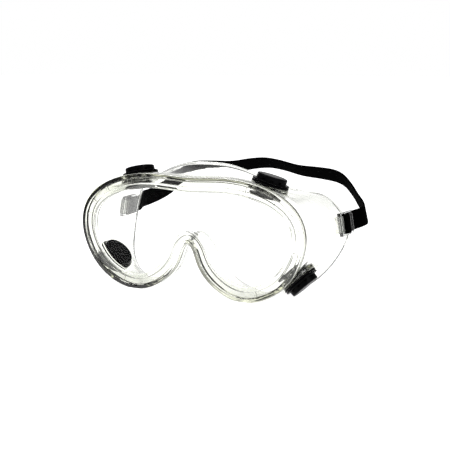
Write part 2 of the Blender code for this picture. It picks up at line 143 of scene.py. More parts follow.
def shade(piece, angle=35):
    """Smooth where the surface is round, with the flats kept flat."""
    pick(piece)
    bpy.ops.object.shade_smooth_by_angle(angle=math.radians(angle))
    return apply_modifier(piece, "WEIGHTED_NORMAL", keep_sharp=True, mode="FACE_AREA")


def copy_to(piece, name, place):
    """A copy with a mesh of its own, in its place."""
    other = piece.copy()
    other.data = piece.data.copy()
    bpy.context.scene.collection.objects.link(other)
    other.name = name
    other.data.name = name
    return put(other, place)


def box(low, high):
    """A block between two corners, in mm."""
    drop_selection()
    middle = [(a + b) / 2 * MM for a, b in zip(low, high)]
    bpy.ops.mesh.primitive_cube_add(size=1, location=middle)
    block = bpy.context.object
    block.scale = [(b - a) * MM for a, b in zip(low, high)]
    bpy.ops.object.transform_apply(location=True, rotation=True, scale=True)
    return block


def rod(radius, low, high, sides=48):
    """A round bar along Z, in mm."""
    drop_selection()
    bpy.ops.mesh.primitive_cylinder_add(
        vertices=sides,
        radius=radius * MM,
        depth=(high - low) * MM,
        location=(0, 0, (low + high) / 2 * MM),
    )
    bar = bpy.context.object
    bpy.ops.object.transform_apply(location=True, rotation=True, scale=True)
    return bar


def around(count):
    """A turn about Z for each of a number of equal steps."""
    return [Matrix.Rotation(math.tau * i / count, 4, "Z") for i in range(count)]


# %% [markdown]
# ## Finishes
#
# A finish is a Principled shader with a pattern for what the eye sees close up. Clear plastic could be mixed
# from Glass and Transparent shaders, but one Principled shader with full transmission bends light as the real
# solid does. Clear PVC is soft and never quite flat, so a slow noise bends its surface a little, and it takes
# a breath of olive out of the light by the length of the way through it. All clear plastic gets a painted
# shade where it is seen edge-on, which stands in for the dark lines that bent light draws at its edges. The
# lens is hard and smooth, with a frosted edge where it was cut. The vents have a fine mould grain. All
# patterns use
# Object coordinates, except the strap's, whose knit follows its own UV map.


# %% Finishes
MIX_INPUTS = (0, 6, 7)  # share, first and second colour of a Mix node set to colours
MIX_OUTPUT = 2
EDGE_SHADE_ON = (0.62, 0.97)  # how far a surface turns away where the painted edge shade starts and where it is full


def grey(tone):
    """A neutral colour."""
    return (tone, tone, tone, 1)


def finish(name):
    """An empty Principled finish, its node tree and its shader."""
    made = bpy.data.materials.new(name)
    made.use_nodes = True
    tree = made.node_tree
    return made, tree, tree.nodes["Principled BSDF"]


def node(tree, kind, **inputs):
    """A node with some of its inputs set by name."""
    added = tree.nodes.new(kind)
    for key, value in inputs.items():
        added.inputs[key.replace("_", " ")].default_value = value
    return added


def noise(tree, scale, detail=3.0):
    """Noise on the piece's own coordinates."""
    where = tree.nodes.new("ShaderNodeTexCoord")
    pattern = node(tree, "ShaderNodeTexNoise", Scale=scale, Detail=detail)
    tree.links.new(where.outputs["Object"], pattern.inputs["Vector"])
    return pattern.outputs["Fac"]


def ramp(tree, value, stops):
    """Colours for a value, as (place, colour) stops."""
    colours = tree.nodes.new("ShaderNodeValToRGB")
    tree.links.new(value, colours.inputs["Fac"])
    band = colours.color_ramp
    band.elements[0].position, band.elements[0].color = stops[0]
    band.elements[1].position, band.elements[1].color = stops[-1]
    for place, colour in stops[1:-1]:
        band.elements.new(place).color = colour
    return colours.outputs["Color"]


def mix(tree, share, first, second, blend="MIX"):
    """Two colours mixed by a share. Each of the three is a socket or a constant."""
    mixed = tree.nodes.new("ShaderNodeMix")
    mixed.data_type = "RGBA"
    mixed.blend_type = blend
    for place, given in zip(MIX_INPUTS, (share, first, second)):
        if isinstance(given, bpy.types.NodeSocket):
            tree.links.new(given, mixed.inputs[place])
        else:
            mixed.inputs[place].default_value = given
    return mixed.outputs[MIX_OUTPUT]


def bump(tree, height, shader, strength, depth):
    """Height as relief, depth in metres."""
    relief = node(tree, "ShaderNodeBump", Strength=strength, Distance=depth)
    tree.links.new(height, relief.inputs["Height"])
    tree.links.new(relief.outputs["Normal"], shader.inputs["Normal"])


def clear_finish(name, pale, deep, edge_shade, index, roughness, waves, mirror=1.0):
    """A clear plastic: two pale tints, a painted darker shade where it is seen edge-on, and gentle waves."""
    made, tree, shader = finish(name)
    tint = ramp(tree, noise(tree, 35.0), [(0.35, (*deep, 1)), (0.65, (*pale, 1))])
    turned = node(tree, "ShaderNodeLayerWeight", Blend=0.5)
    # painted shade: the colour goes to the dark edge colour as the surface turns edge-on, in place of the
    # dark lines that bent light draws
    share = ramp(tree, turned.outputs["Facing"], list(zip(EDGE_SHADE_ON, (grey(0.0), grey(1.0)))))
    tree.links.new(mix(tree, share, tint, (*edge_shade, 1)), shader.inputs["Base Color"])
    shader.inputs["Roughness"].default_value = roughness
    shader.inputs["Metallic"].default_value = 0.0
    shader.inputs["IOR"].default_value = index
    shader.inputs["Transmission Weight"].default_value = 1.0
    shader.inputs["Specular Tint"].default_value = (mirror, mirror, mirror, 1)
    bump(tree, noise(tree, waves[0], 2.0), shader, 0.35, waves[1])
    return made


def tint_through(made, colour, density):
    """Takes colour out of the light by the length of its way through the plastic."""
    tree = made.node_tree
    inside = node(tree, "ShaderNodeVolumeAbsorption", Color=(*colour, 1), Density=density)
    tree.links.new(inside.outputs["Volume"], tree.nodes["Material Output"].inputs["Volume"])


def cut_edge():
    """The frosted edge that the cutter leaves on a clear sheet."""
    made, tree, shader = finish("lens_edge_finish")
    tone = ramp(tree, noise(tree, 400.0), [(0.3, grey(0.10)), (0.7, (0.22, 0.22, 0.21, 1))])
    tree.links.new(tone, shader.inputs["Base Color"])
    shader.inputs["Roughness"].default_value = 0.6
    shader.inputs["Specular IOR Level"].default_value = 0.1
    return made


def moulded_black():
    """Black plastic with a fine mould grain."""
    made, tree, shader = finish("black_vent_finish")
    grain = noise(tree, 900.0, 4.0)
    shades = [(0.3, (0.0008, 0.0008, 0.001, 1)), (0.7, (0.002, 0.002, 0.0025, 1))]
    tone = ramp(tree, noise(tree, 60.0), shades)
    gloss = ramp(tree, grain, [(0.3, grey(0.28)), (0.7, grey(0.32))])
    tree.links.new(tone, shader.inputs["Base Color"])
    tree.links.new(gloss, shader.inputs["Roughness"])
    shader.inputs["IOR"].default_value = 1.5
    shader.inputs["Specular IOR Level"].default_value = 0.03
    bump(tree, grain, shader, 0.02, 0.00004)
    return made


STITCH = 0.0009  # length of one stitch along the strap, in metres
KNIT_RIBS = 18.0  # ribs across the strap
ONE_WAVE = math.tau / 20  # scale at which a Wave texture repeats once per unit


def knitted_black(length):
    """Black knitted elastic: ribs along the strap, crossed by rows of stitches."""
    made, tree, shader = finish("black_elastic_finish")
    where = tree.nodes.new("ShaderNodeTexCoord")
    spread = node(tree, "ShaderNodeMapping")
    spread.inputs["Scale"].default_value = (length / STITCH, KNIT_RIBS, 1.0)
    tree.links.new(where.outputs["UV"], spread.inputs["Vector"])
    ribs = node(tree, "ShaderNodeTexWave", Scale=ONE_WAVE, Distortion=0.3)
    ribs.bands_direction = "Y"
    stitches = node(tree, "ShaderNodeTexWave", Scale=ONE_WAVE, Distortion=0.8)
    stitches.bands_direction = "X"
    for pattern in (ribs, stitches):
        tree.links.new(spread.outputs["Vector"], pattern.inputs["Vector"])
    knit = tree.nodes.new("ShaderNodeMath")
    knit.operation = "MULTIPLY"
    tree.links.new(ribs.outputs["Fac"], knit.inputs[0])
    tree.links.new(stitches.outputs["Fac"], knit.inputs[1])
    tone = ramp(tree, knit.outputs[0], [(0.0, grey(0.0002)), (1.0, (0.0011, 0.0011, 0.0014, 1))])
    tree.links.new(tone, shader.inputs["Base Color"])
    shader.inputs["Roughness"].default_value = 0.85
    shader.inputs["Specular IOR Level"].default_value = 0.008
    bump(tree, knit.outputs[0], shader, 0.6, 0.00015)
    return made


soft_clear = clear_finish(
    "clear_pvc_finish",
    pale=(0.985, 0.988, 0.975),
    deep=(0.970, 0.976, 0.948),
    # colour of the painted shade where the PVC is seen edge-on
    edge_shade=(0.45, 0.47, 0.40),
    index=1.52,
    roughness=0.03,
    waves=(70.0, 0.0004),
)
tint_through(soft_clear, (0.66, 0.68, 0.40), 26.0)
hard_clear = clear_finish(
    "clear_lens_finish",
    pale=(0.995, 0.997, 0.997),
    deep=(0.990, 0.994, 0.994),
    # colour of the painted shade where the lens is seen edge-on
    edge_shade=(0.7, 0.7, 0.7),
    index=1.50,
    roughness=0.0,
    waves=(25.0, 0.00003),
    mirror=0.05,
)
buckle_clear = clear_finish(
    "clear_buckle_finish",
    pale=(0.90, 0.905, 0.91),
    deep=(0.82, 0.825, 0.83),
    # colour of the painted shade where the buckle is seen edge-on
    edge_shade=(0.15, 0.15, 0.15),
    index=1.49,
    roughness=0.06,
    waves=(150.0, 0.0001),
)
vent_black = moulded_black()
lens_edge = cut_edge()
print("finishes", [m.name for m in bpy.data.materials if m.name.endswith("finish")])

# %% [markdown]
# ## The outline
#
# Everything on the mask follows one closed line, the edge of the window. Fifteen stations give half of it,
# from the brow to the nose, with the place of the face lip behind each of them. A smooth curve through the
# stations could be a Bezier curve object, but the rim, the skirt and the lens all need the same points, so
# the curve is worked out once as numbers and used for each of them.

# %% The outline
# window x and z, lip x, depth and z, swell of the wall, share of the rim's width, in mm
STATIONS = (
    (0.0, 67.2, 0.0, 31.0, 83.4, -2.5, 1.0),
    (18.0, 68.0, 16.0, 31.5, 82.4, -2.5, 1.0),
    (36.0, 67.5, 33.0, 34.0, 77.0, -3.7, 1.0),
    (50.0, 64.5, 49.0, 39.0, 70.5, -3.4, 1.0),
    (62.0, 59.0, 64.5, 48.0, 66.0, -1.8, 1.0),
    (70.3, 50.4, 74.0, 63.0, 59.5, 1.5, 1.0),
    (72.3, 42.0, 82.2, 70.0, 45.5, -0.5, 1.0),
    (69.5, 30.0, 82.5, 65.5, 28.5, 0.5, 1.0),
    (63.0, 19.8, 75.5, 52.0, 13.5, -2.8, 1.0),
    (52.0, 12.0, 60.5, 39.0, 1.5, -2.8, 1.0),
    (39.2, 9.2, 43.0, 31.0, -1.0, -1.0, 1.0),
    (26.5, 13.6, 27.0, 26.0, 5.0, -1.0, 1.0),
    (16.0, 24.1, 15.5, 23.0, 17.0, -1.0, 0.96),
    (11.0, 34.2, 9.0, 21.0, 29.5, -0.5, 0.88),
    (0.0, 41.5, 0.0, 20.0, 37.5, 0.0, 0.8),
)
ROUND_THE_OUTLINE = 288


def unit(vectors):
    """The same directions, each of length one."""
    return vectors / np.linalg.norm(vectors, axis=-1, keepdims=True)


def closed_curve(rows, count):
    """Evenly spaced places on a smooth closed curve through the rows, and its slope there."""
    rows = np.array(rows)
    loop = np.vstack([rows, rows[:1]])[:, :2]
    knots = np.concatenate([[0], np.cumsum(np.linalg.norm(np.diff(loop, axis=0), axis=1))])
    step = np.diff(knots)
    total = len(rows)
    rise = (np.roll(rows, -1, axis=0) - rows) / step[:, None]
    system = np.zeros((total, total))
    target = np.zeros_like(rows)
    for i in range(total):
        system[i, i - 1] += step[i - 1]
        system[i, i] += 2 * (step[i - 1] + step[i])
        system[i, (i + 1) % total] += step[i]
        target[i] = 6 * (rise[i] - rise[i - 1])
    bend = np.linalg.solve(system, target)
    where = np.arange(count) * knots[-1] / count
    span = np.clip(np.searchsorted(knots, where, side="right") - 1, 0, total - 1)
    after = (span + 1) % total
    h = step[span][:, None]
    a = (knots[span + 1] - where)[:, None] / h
    b = 1 - a
    place = a * rows[span] + b * rows[after]
    place = place + ((a**3 - a) * bend[span] + (b**3 - b) * bend[after]) * h**2 / 6
    slope = (rows[after] - rows[span]) / h
    slope = slope + ((3 * b**2 - 1) * bend[after] - (3 * a**2 - 1) * bend[span]) * h / 6
    return place, slope


mirrored = [(-x, z, -lx, ly, lz, s, w) for x, z, lx, ly, lz, s, w in STATIONS[-2:0:-1]]
line, slope = closed_curve([*STATIONS, *mirrored], ROUND_THE_OUTLINE)
window = line[:, :2]
way = unit(slope[:, :2])
outwards = np.stack([-way[:, 1], way[:, 0]], axis=1) * line[:, 6:]


def rim_ring(beyond, depth):
    """The ring this far outside the window's edge and this deep behind the rim's front, in mm."""
    flat = window + outwards * beyond
    return np.stack([flat[:, 0], np.full(len(flat), depth), flat[:, 1]], axis=1)


def seat(points):
    """Points in mm behind the rim's front, as points in the frame."""
    return (np.asarray(points) + (0, rim_front / MM, 0)) * MM


print("outline", len(window), "points,", round(float(np.ptp(window[:, 0])), 1), "mm wide")

# %% [markdown]
# ## The mask: rim, skirt and face lip
#
# The real mask is one moulding, and its section changes all the way round. A subdivided cage would round
# the groove away, so the section is drawn as a chain of rings, with its corners rounded in the drawing. A
# circle is the first ring. It is extruded once for each of the others, and the last one is merged with the
# first, which leaves one closed shell. The lip ends in a bead, which catches the light as a fine line.

# %% The mask's shell
RIM_WIDTH = 9.7
RIM_DEPTH = 7.5
WALL = 1.8
BEAD = 1.4  # how many times as thick as the wall the lip's edge is
LIP_STEPS = 8
SKIRT_STEPS = 16
SKIRT_MIDDLE = (0.3, 0.5, 0.3)  # share of the way from rim to lip at which the wall swells
GROOVE = (2.0, 4.6, 3.3)  # front, back and bottom of the lens groove


def rounded(corners, steps=3):
    """Corners as (across, depth, radius), each swept round by its radius."""
    points = []
    for before, corner, after in zip([corners[0], *corners], corners, [*corners[1:], corners[-1]]):
        middle, radius = np.array(corner[:2]), corner[2]
        if radius == 0:
            points.append(middle)
            continue
        arrive = unit(middle - np.array(before[:2]))
        leave = unit(np.array(after[:2]) - middle)
        half = math.acos(float(np.clip(arrive @ leave, -1, 1))) / 2
        reach = radius * math.tan(half)
        first, last = middle - arrive * reach, middle + leave * reach
        for t in np.linspace(0, 1, steps + 1):
            points.append((1 - t) ** 2 * first + 2 * t * (1 - t) * middle + t**2 * last)
    return points


def skirt_rings():
    """Rings of the skirt's outer face from the rim to the lip, of the rolled lip, and of the inner face."""
    start = rim_ring(RIM_WIDTH, RIM_DEPTH)
    lip = line[:, 2:5]
    middle = start + (lip - start) * SKIRT_MIDDLE
    middle[:, [0, 2]] += outwards * line[:, 5:6]
    t = np.linspace(0, 1, SKIRT_STEPS + 1)[:, None, None]
    outer = start * (1 - t) * (1 - 2 * t) + middle * 4 * t * (1 - t) + lip * t * (2 * t - 1)
    back = np.gradient(outer, axis=0)
    along = np.roll(outer, -1, axis=1) - np.roll(outer, 1, axis=1)
    normal = unit(np.cross(back, along))
    if np.sum(normal[0][:, [0, 2]] * outwards) < 0:
        normal = -normal
    inner = outer - normal * WALL
    centre = (outer[-1] + inner[-1]) / 2
    tip = unit(back[-1])
    turns = np.linspace(0, math.pi, LIP_STEPS + 1)[1:-1]
    roll = [centre + (normal[-1] * math.cos(a) * BEAD + tip * math.sin(a)) * WALL / 2 for a in turns]
    return outer, roll, inner


outer, roll, inner = skirt_rings()
# across the rim, behind its front and radius of the corner, in mm
front_section = rounded(
    [
        (0.0, GROOVE[0], 0),
        (0.0, 0.0, 0.7),
        (2.6, 0.0, 0.5),
        (3.1, 0.9, 0.35),
        (6.6, 0.9, 0.35),
        (7.1, 0.0, 0.5),
        (RIM_WIDTH, 0.0, 0.9),
        (RIM_WIDTH, RIM_DEPTH - 1.0, 0),
    ]
)
back_section = rounded(
    [
        (7.2, 6.1, 0),
        (0.0, 6.1, 0.6),
        (0.0, GROOVE[1], 0),
        (GROOVE[2], GROOVE[1], 0.2),
        (GROOVE[2], GROOVE[0], 0.2),
        (0.0, GROOVE[0], 0),
    ]
)[:-1]
rings = [rim_ring(*point) for point in front_section]
rings += [*outer, *roll, *inner[:0:-1]]
rings += [rim_ring(*point) for point in back_section]


def extrude_rings(name, rings):
    """A closed shell made of rings, each extruded from the one before it."""
    drop_selection()
    count = len(rings[0])
    bpy.ops.mesh.primitive_circle_add(vertices=count, radius=0.1, fill_type="NOTHING")
    shell = named(name)
    number = shell.data.attributes.new("station", "INT", "POINT")
    number.data.foreach_set("value", np.arange(count, dtype=np.int32))
    bpy.ops.object.mode_set(mode="EDIT")
    bpy.ops.mesh.select_all(action="SELECT")
    for i, ring in enumerate([*rings, rings[0]]):
        if i:
            bpy.ops.mesh.extrude_edges_move()
        cage = bmesh.from_edit_mesh(shell.data)
        station = cage.verts.layers.int["station"]
        for vertex in cage.verts:
            if vertex.select:
                vertex.co = ring[vertex[station]]
        bmesh.update_edit_mesh(shell.data)
    bpy.ops.object.mode_set(mode="OBJECT")
    shell.data.attributes.remove(shell.data.attributes["station"])
    return face_out(shell)


mask = extrude_rings("mask", [seat(ring) for ring in rings])
print("mask shell", len(mask.data.polygons), "faces")

# %% [markdown]
# ## The mask: vent seats, ear lugs and rim pips
#
# A seat is a short boss with a hole, an ear lug is a tube with a slit that the buckle's bar snaps into, and
# the rim's channel carries small moulded pips. They could be sculpted out of the shell, but on the real
# mould they are simple turned and milled shapes, so they are made that way: each is built and softened by
# itself and joined on with a union, and then each hole is cut with a difference. The cutting tools reach well
# past the walls, so that no thin skin is left.

# %% The mask's seats, lugs and pips
VENT_SEATS = {
    "top": ((48.3, 22.0, 72.2), (0.25, 0.14, 0.96)),
    "lower": ((70.3, 20.8, 14.1), (0.69, 0.03, -0.72)),
}
HANDS = {"left": -1, "right": 1}
HINGE = (84.6, 53.9, 45.0)
EAR_LEAN = math.radians(10)
BUCKLE_SPLAY = math.radians(4)
SEAT_RADIUS = 12.4
SEAT_DEPTH = 4.2
NECK_HOLE = 8.7
LUG_RADIUS = 2.3
LUG_HALF = 5.5
LUG_EDGE = 0.4
LUG_BORE = 1.5
SLIT_HALF = 0.95
WEB_HALF = 1.9
WEB_ROOT = 3.7  # from the lug's axis to the root of its web in the ear


def vent_place(row, side):
    """Middle of a vent's seat, with Z out of the wall."""
    centre, normal = VENT_SEATS[row]
    out = Vector((normal[0] * side, normal[1], normal[2])).normalized()
    along = Vector((0, 1, 0)).cross(out).normalized()
    place = Matrix((along, out.cross(along), out)).transposed().to_4x4()
    place.translation = seat((centre[0] * side, centre[1], centre[2]))
    return place


def buckle_place(side):
    """On the lug's axis: Z along it, Y back along the buckle, X towards the right-hand side."""
    up = Vector((-math.sin(EAR_LEAN) * side, 0, math.cos(EAR_LEAN)))
    back = Vector((math.sin(BUCKLE_SPLAY) * side, math.cos(BUCKLE_SPLAY), 0))
    back = (back - up * back.dot(up)).normalized()
    place = Matrix((back.cross(up), back, up)).transposed().to_4x4()
    place.translation = seat((HINGE[0] * side, HINGE[1], HINGE[2]))
    return place


def lug(side):
    """Knuckle and the web that roots it in the ear's wall."""
    knuckle = soften(rod(LUG_RADIUS, -LUG_HALF, LUG_HALF, 40), LUG_EDGE * MM)
    root = sorted((0.0, -WEB_ROOT * side))
    half = LUG_HALF - LUG_EDGE
    web = soften(box((root[0], -WEB_HALF, -half), (root[1], WEB_HALF, half)), LUG_EDGE * MM)
    return [put(piece, buckle_place(side)) for piece in (knuckle, web)]


PIP_PLACES = ((41.0, 72.0), (62.0, 65.5), (72.8, 56.8), (77.2, 47.5), (76.4, 33.0), (68.5, 19.0), (49.8, 5.7))
PIP_LOW, PIP_HIGH = (-1.75, 0.25, -0.9), (1.75, 1.6, 0.9)  # across, behind the rim's front, and along
CHANNEL_MIDDLE = 4.85


def pip(x, z):
    """A small moulded block across the rim's channel, square to the rim there."""
    near = int(np.argmin(np.hypot(window[:, 0] - x, window[:, 1] - z)))
    out = Vector((outwards[near][0], 0, outwards[near][1])).normalized()
    place = Matrix((out, Vector((0, 1, 0)), out.cross(Vector((0, 1, 0))))).transposed().to_4x4()
    middle = window[near] + outwards[near] * CHANNEL_MIDDLE
    place.translation = seat((middle[0], 0.0, middle[1]))
    return put(soften(box(PIP_LOW, PIP_HIGH), 0.2 * MM, 2), place)


added, cut = [], []
for side in HANDS.values():
    for row in VENT_SEATS:
        boss = soften(rod(SEAT_RADIUS, -SEAT_DEPTH, 0.0, 64), 0.5 * MM)
        added.append(put(boss, vent_place(row, side)))
        cut.append(put(rod(NECK_HOLE, -12, 8, 64), vent_place(row, side)))
    added += lug(side)
    cut.append(put(rod(LUG_BORE, -8, 8, 32), buckle_place(side)))
    cut.append(put(box((-SLIT_HALF, 0, -8), (SLIT_HALF, 5, 8)), buckle_place(side)))
    added += [pip(x * side, z) for x, z in PIP_PLACES]
for tool in added:
    combine(mask, tool, "UNION")
for tool in cut:
    combine(mask, tool, "DIFFERENCE")
print("mask", len(mask.data.polygons), "faces after the seats, lugs and pips")

# %% [markdown]
# ## The mask: the flats it stands on
#
# The lowest points of the rim and of the cheek lips are slightly flat, which lets the goggles stand on a
# table. Bisect would fill all the cuts with one face, right across the nose, so a block as wide as the
# goggles cuts the four flats instead.

# %% The mask's flats
combine(mask, box((-120, -120, -20), (120, 120, 0)), "DIFFERENCE")
shade(mask, 40)
mask.data.materials.append(soft_clear)
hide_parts("mask_body")
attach(mask, "mask")
print("mask stands at", min(v.co.z for v in mask.data.vertices))

# %% [markdown]
# ## The lens
#
# A flat polycarbonate sheet, cut to the groove's outline with a little room all round. A plate could be cut
# with a boolean, but a filled circle takes the outline's points as they are. One extrusion gives the
# thickness, and a fine bevel takes the sharpness off. The cut edge has its own finish, which draws a line in
# the groove.

# %% The lens
LENS_GAP = 0.3
LENS_THICKNESS = 2.0
EDGE_FACING = 0.3  # faces that look forwards or backwards by less than this are the cut edge
drop_selection()
bpy.ops.mesh.primitive_circle_add(vertices=ROUND_THE_OUTLINE, radius=0.1, fill_type="NGON")
lens = named("clear_lens")
lens_outline = seat(rim_ring(GROOVE[2] - LENS_GAP, GROOVE[0] + LENS_GAP))
for vertex, place in zip(lens.data.vertices, lens_outline):
    vertex.co = place
bpy.ops.object.mode_set(mode="EDIT")
bpy.ops.mesh.select_all(action="SELECT")
bpy.ops.mesh.extrude_region_move(TRANSFORM_OT_translate={"value": (0, LENS_THICKNESS * MM, 0)})
bpy.ops.object.mode_set(mode="OBJECT")
face_out(lens)
soften(lens, 0.2 * MM, 2, 60)
shade(lens, 20)
lens.data.materials.append(hard_clear)
lens.data.materials.append(lens_edge)
for face in lens.data.polygons:
    face.material_index = int(abs(face.normal.y) < EDGE_FACING)
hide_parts("lens")
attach(lens, "mask")
print("lens", len(lens.data.polygons), "faces")

# %% [markdown]
# ## The vents
#
# Each vent is three turned pieces: a base whose neck goes through the wall, a cap on a peg, and a baffle
# inside. Stacked cylinders could be joined with booleans, but a lathe makes such pieces, and a closed profile
# spun right round keeps every rounded corner in one clean surface. They are modelled once, upright at the
# origin. The air holes and the side slots are then cut, and each seat gets its own copies.

# %% The vents' pieces
LATHE_STEPS = 64
AIR_HOLES = 6
AIR_HOLE_RADIUS = 1.5
AIR_HOLES_AT = 4.95  # from the vent's axis to the middle of a hole
CAP_SLOTS = 11
BAFFLE_LEGS = 3


def lathe(name, profile):
    """A closed profile of (radius, height, corner radius) in mm, spun round Z."""
    points = rounded([*profile, profile[0]])[:-1]
    drop_selection()
    bpy.ops.mesh.primitive_circle_add(vertices=len(points), radius=0.1, fill_type="NOTHING")
    piece = named(name)
    for vertex, (radius, height) in zip(piece.data.vertices, points):
        vertex.co = (max(radius, 0) * MM, 0, height * MM)
    bpy.ops.object.mode_set(mode="EDIT")
    bpy.ops.mesh.select_all(action="SELECT")
    bpy.ops.mesh.spin(steps=LATHE_STEPS, angle=math.tau, center=(0, 0, 0), axis=(0, 0, 1))
    bpy.ops.object.mode_set(mode="OBJECT")
    return face_out(piece)


def vent_base():
    """Flange, neck through the wall, web with air holes round a socket, and a guard ring inside the cap."""
    profile = (
        (1.6, -1.4, 0),
        (2.8, -1.4, 0.2),
        (2.8, 0.3, 0.2),
        (7.1, 0.3, 0.2),
        (7.1, -4.5, 0.2),
        (8.3, -4.5, 0.4),
        (8.3, 0.3, 0),
        (12.2, 0.3, 0.25),
        (12.2, 1.5, 0.4),
        (7.6, 1.5, 0.15),
        (7.6, 4.7, 0.2),
        (6.8, 4.7, 0.2),
        (6.8, 1.5, 0.15),
        (1.6, 1.5, 0.1),
    )
    base = lathe("vent_base", profile)
    for turn in around(AIR_HOLES):
        hole = rod(AIR_HOLE_RADIUS, -2, 4, 24)
        combine(base, put(hole, turn @ Matrix.Translation((AIR_HOLES_AT * MM, 0, 0))), "DIFFERENCE")
    return shade(base)


def vent_cap():
    """Peg, crown with a fine groove, brim, and slots through the side wall."""
    profile = (
        (0.0, -1.1, 0),
        (1.3, -1.1, 0.3),
        (1.3, 5.5, 0.3),
        (8.8, 5.5, 0.4),
        (8.8, 2.0, 0.15),
        (12.1, 2.0, 0.25),
        (12.1, 2.9, 0.35),
        (9.9, 2.9, 0.15),
        (9.9, 6.6, 0.9),
        (8.2, 6.6, 0.12),
        (8.0, 6.35, 0.12),
        (7.6, 6.35, 0.12),
        (7.4, 6.6, 0.12),
        (0.0, 6.6, 0),
    )
    cap = lathe("vent_cap", profile)
    for turn in around(CAP_SLOTS):
        opening = soften(box((7.2, -1.0, 3.2), (12.3, 1.0, 4.4)), 0.2 * MM, 2)
        combine(cap, put(opening, turn), "DIFFERENCE")
    return shade(cap)


def vent_baffle():
    """A round plate behind the neck, on legs that grip the neck."""
    profile = ((0.0, -7.1, 0), (10.6, -7.1, 0.3), (10.6, -6.1, 0.3), (0.0, -6.1, 0))
    baffle = lathe("vent_baffle", profile)
    for turn in around(BAFFLE_LEGS):
        leg = soften(box((5.0, -1.2, -6.7), (6.6, 1.2, -2.5)), 0.25 * MM, 2)
        combine(baffle, put(leg, turn), "UNION")
    return shade(baffle)


vent_pieces = {"base": vent_base(), "cap": vent_cap(), "baffle": vent_baffle()}
for row in VENT_SEATS:
    for hand, side in HANDS.items():
        for kind, pattern in vent_pieces.items():
            piece = copy_to(pattern, f"{row}_{hand}_{kind}", vent_place(row, side))
            piece.data.materials.append(vent_black)
            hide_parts(f"{row}_{hand}_vent_{kind}")
            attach(piece, "mask")
for pattern in vent_pieces.values():
    bpy.data.objects.remove(pattern, do_unlink=True)
print("vents placed in", len(VENT_SEATS) * len(HANDS), "seats")

# %% [markdown]
# ## The buckles
#
# A clear three-bar buckle. Windows could be cut out of a plate with booleans, but a grid is already the plan
# of its rails, bars and windows. Its lines are moved to the edges of the bars, the windows' faces are
# deleted, Solidify gives the thickness and a bevel rounds it. The round front bar and the grip ribs on the
# rear bar are joined on.

# %% The buckles
BUCKLE_LINES_ALONG = (-1.2, 4.9, 8.4, 11.6, 16.4)  # the front, both sides of the middle bar, the rear bar
BUCKLE_LINES_ACROSS = (-7.6, -6.7, 6.7, 7.6)
BUCKLE_THICKNESS = 2.4
BAR_RADIUS = 1.2
BAR_HALF = 7.3
RIBS = 3
RIB_PITCH = 1.6
RIB_LOW, RIB_HIGH = (0.6, -0.4, -5.7), (1.7, 0.4, 5.7)


def buckle(hand, side):
    """One buckle on its lug, riding on its own body."""
    columns, rows = len(BUCKLE_LINES_ALONG) - 1, len(BUCKLE_LINES_ACROSS) - 1
    middle_front, middle_back, rear_front = BUCKLE_LINES_ALONG[1:4]
    drop_selection()
    bpy.ops.mesh.primitive_grid_add(x_subdivisions=columns, y_subdivisions=rows, size=1)
    frame_piece = named(f"{hand}_clear_buckle")
    for vertex in frame_piece.data.vertices:
        along = BUCKLE_LINES_ALONG[round((vertex.co.x + 0.5) * columns)]
        across = BUCKLE_LINES_ACROSS[round((vertex.co.y + 0.5) * rows)]
        vertex.co = (0, along * MM, across * MM)
    bpy.ops.object.mode_set(mode="EDIT")
    bpy.ops.mesh.select_all(action="DESELECT")
    cage = bmesh.from_edit_mesh(frame_piece.data)
    for face in cage.faces:
        middle = face.calc_center_median() / MM
        inside = abs(middle.z) < BUCKLE_LINES_ACROSS[2]
        face.select = inside and (middle.y < middle_front or middle_back < middle.y < rear_front)
    cage.select_flush_mode()
    bmesh.update_edit_mesh(frame_piece.data)
    bpy.ops.mesh.delete(type="FACE")
    bpy.ops.object.mode_set(mode="OBJECT")
    apply_modifier(frame_piece, "SOLIDIFY", thickness=BUCKLE_THICKNESS * MM, offset=0.0, use_even_offset=True)
    face_out(frame_piece)
    soften(frame_piece, 0.3 * MM, 3)
    combine(frame_piece, rod(BAR_RADIUS, -BAR_HALF, BAR_HALF, 32), "UNION")
    for i in range(RIBS):
        rib = soften(box(RIB_LOW, RIB_HIGH), 0.25 * MM, 2)
        if side < 0:
            put(rib, Matrix.Rotation(math.pi, 4, "Z"))
        put(rib, Matrix.Translation((0, (rear_front + (i + 0.5) * RIB_PITCH) * MM, 0)))
        combine(frame_piece, rib, "UNION")
    put(frame_piece, buckle_place(side))
    shade(frame_piece)
    frame_piece.data.materials.append(buckle_clear)
    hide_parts(f"{hand}_buckle")
    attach(frame_piece, f"{hand}_buckle_body")
    return frame_piece


buckles = {hand: buckle(hand, side) for hand, side in HANDS.items()}
print("buckles", [len(piece.data.polygons) for piece in buckles.values()])

# %% [markdown]
# ## The strap
#
# One knitted elastic band. It is threaded through each buckle: in under the rear bar, over the middle bar
# and back inside as a short tail. A curve with a flat section would twist at the threaded bends, so the band
# is a grid whose rows are laid along the route, with Solidify for the thickness. It is made as two halves
# that meet behind the head. Each half runs a little past the middle and is cut off square there, so that its
# rounded end leaves no notch.

# %% The strap's route
STRAP_WIDTH = 13.0
STRAP_THICKNESS = 1.2
STRAP_BEND = 1.5
# along the buckle and out from its middle, from the tail to the place where the strap leaves, in mm
THREADED = ((8.2, -2.0), (3.6, -2.0), (3.6, 2.1), (10.0, 2.1), (10.0, -2.0), (24.0, -2.0))
STRAP_ROUTE = (
    (87.2, 86.5, 46.0),
    (87.0, 94.0, 46.6),
    (83.4, 101.0, 49.0),
    (77.4, 106.4, 53.6),
    (70.8, 110.2, 60.4),
    (63.8, 112.8, 66.2),
    (56.0, 114.9, 68.9),
    (44.0, 117.4, 69.9),
    (27.0, 119.4, 70.8),
    (12.0, 120.2, 73.6),
    (0.0, 120.6, 74.8),
)
STRAP_LEAN = math.radians(51)
LEAVING = (16.0, 24.3)  # places along the buckle that give the band its first direction
PER_SPAN = 24  # places on each span of the band's curve
PAST_MIDDLE = 2  # places past the middle of the back


